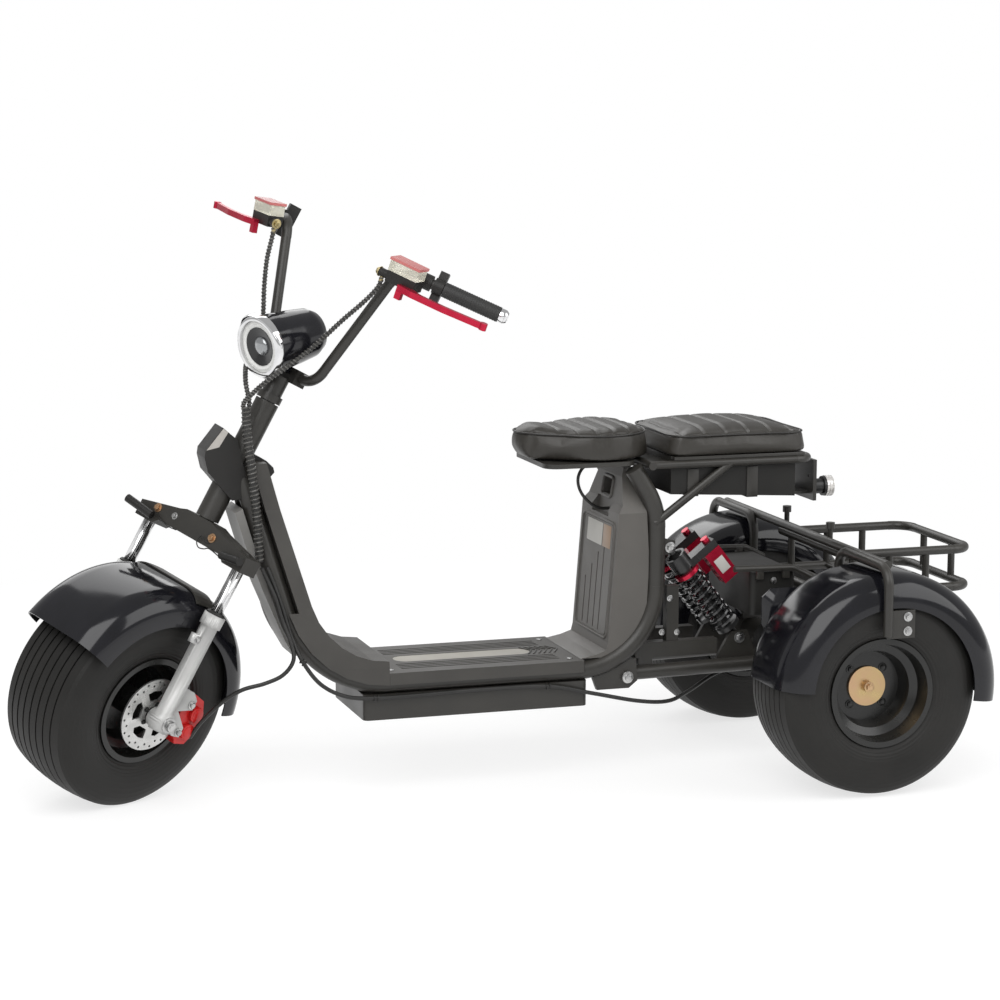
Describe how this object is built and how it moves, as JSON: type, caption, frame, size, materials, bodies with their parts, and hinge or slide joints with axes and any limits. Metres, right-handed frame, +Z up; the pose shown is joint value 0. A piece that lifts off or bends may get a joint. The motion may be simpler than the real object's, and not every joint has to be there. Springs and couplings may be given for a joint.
{
  "type": "three-wheeled electric scooter",
  "caption": "Step-through electric trike with wide balloon tyres, raked fork, tall bars, rider saddle, passenger cushion, coil-over rear shocks and a rear luggage basket.",
  "frame": {"origin": "on the ground under the middle of the vehicle's bounding box", "axes": "+X forward, +Y to the rider's left, +Z up"},
  "size_m": [2.1524, 0.9958, 1.2642],
  "materials": {
    "frame_black": "satin black paint",
    "moulded_black": "fine-grained moulded plastic",
    "case_black": "matt black",
    "shield_grey": "matt",
    "seat_leather": "soft grain",
    "lamp_red": "clear gloss",
    "zinc": "zinc plated",
    "shock_black": "gloss",
    "lid_red": "semi-gloss",
    "anodised_red": "red, semi-gloss",
    "fender_black": "high gloss",
    "chrome": "polished",
    "fork_silver": "silver paint",
    "grip_rubber": "matt",
    "clear_fluid": "milky",
    "lens": "clear",
    "tyre": "matt",
    "rim_black": "satin black",
    "disc_steel": "ground",
    "hub_brass": "yellow zinc plated"
  },
  "bodies": {
    "frame": {"main_frame": "frame_black", "footboard": "moulded_black", "underfloor_box": "case_black", "leg_shield": "shield_grey", "battery_cover": "moulded_black", "driver_seat": "seat_leather", "passenger_seat": "seat_leather", "underseat_box": "case_black", "seat_rail": "frame_black", "tail_bracket": "frame_black", "tail_lamp": "lamp_red", "swing_arm": "frame_black", "pivot_bolts": "zinc", "rear_axle": "frame_black", "drive_motor": "case_black", "shock_bodies": "shock_black", "shock_springs": "shock_black", "shock_reservoirs": "anodised_red", "rear_case": "case_black", "case_bars": "frame_black", "rear_fenders": "fender_black", "rear_rack": "frame_black", "basket": "frame_black", "head_covers": "moulded_black", "frame_cables": "grip_rubber"},
    "steering": {"fork_clamp": "frame_black", "fork_tubes": "chrome", "fork_lowers": "fork_silver", "front_fender": "fender_black", "fender_brace": "frame_black", "front_caliper": "anodised_red", "handlebar": "frame_black", "grips": "grip_rubber", "bar_controls": "moulded_black", "fluid_reservoirs": "clear_fluid", "reservoir_lids": "lid_red", "brake_levers": "anodised_red", "headlight_shell": "fender_black", "headlight_bezel": "chrome", "headlight_lens": "lens", "turn_signals": "moulded_black", "bar_cables": "grip_rubber"},
    "front_wheel": {"front_tyre": "tyre", "front_rim": "rim_black", "front_disc": "disc_steel"},
    "rear_wheel_left": {"rear_tyre_left": "tyre", "rear_rim_left": "rim_black", "hub_disc_left": "hub_brass"},
    "rear_wheel_right": {"rear_tyre_right": "tyre", "rear_rim_right": "rim_black", "hub_disc_right": "hub_brass"}
  },
  "joints": [
    {"name": "steering_turn", "type": "hinge", "parent": "frame", "child": "steering", "pos_m": [0.84099, 0, 0.2351], "axis": [-0.4772, 0, 0.8788], "range_deg": [-64, 0]},
    {"name": "front_wheel_spin", "type": "hinge", "parent": "steering", "child": "front_wheel", "pos_m": [0.84099, 0, 0.2351], "axis": [-0.4657, 0.848, -0.2529], "continuous": true},
    {"name": "rear_left_spin", "type": "hinge", "parent": "frame", "child": "rear_wheel_left", "pos_m": [-0.71401, 0.362, 0.229], "axis": [0, 1, 0], "continuous": true},
    {"name": "rear_right_spin", "type": "hinge", "parent": "frame", "child": "rear_wheel_right", "pos_m": [-0.71401, -0.362, 0.229], "axis": [0, 1, 0], "continuous": true}
  ]
}
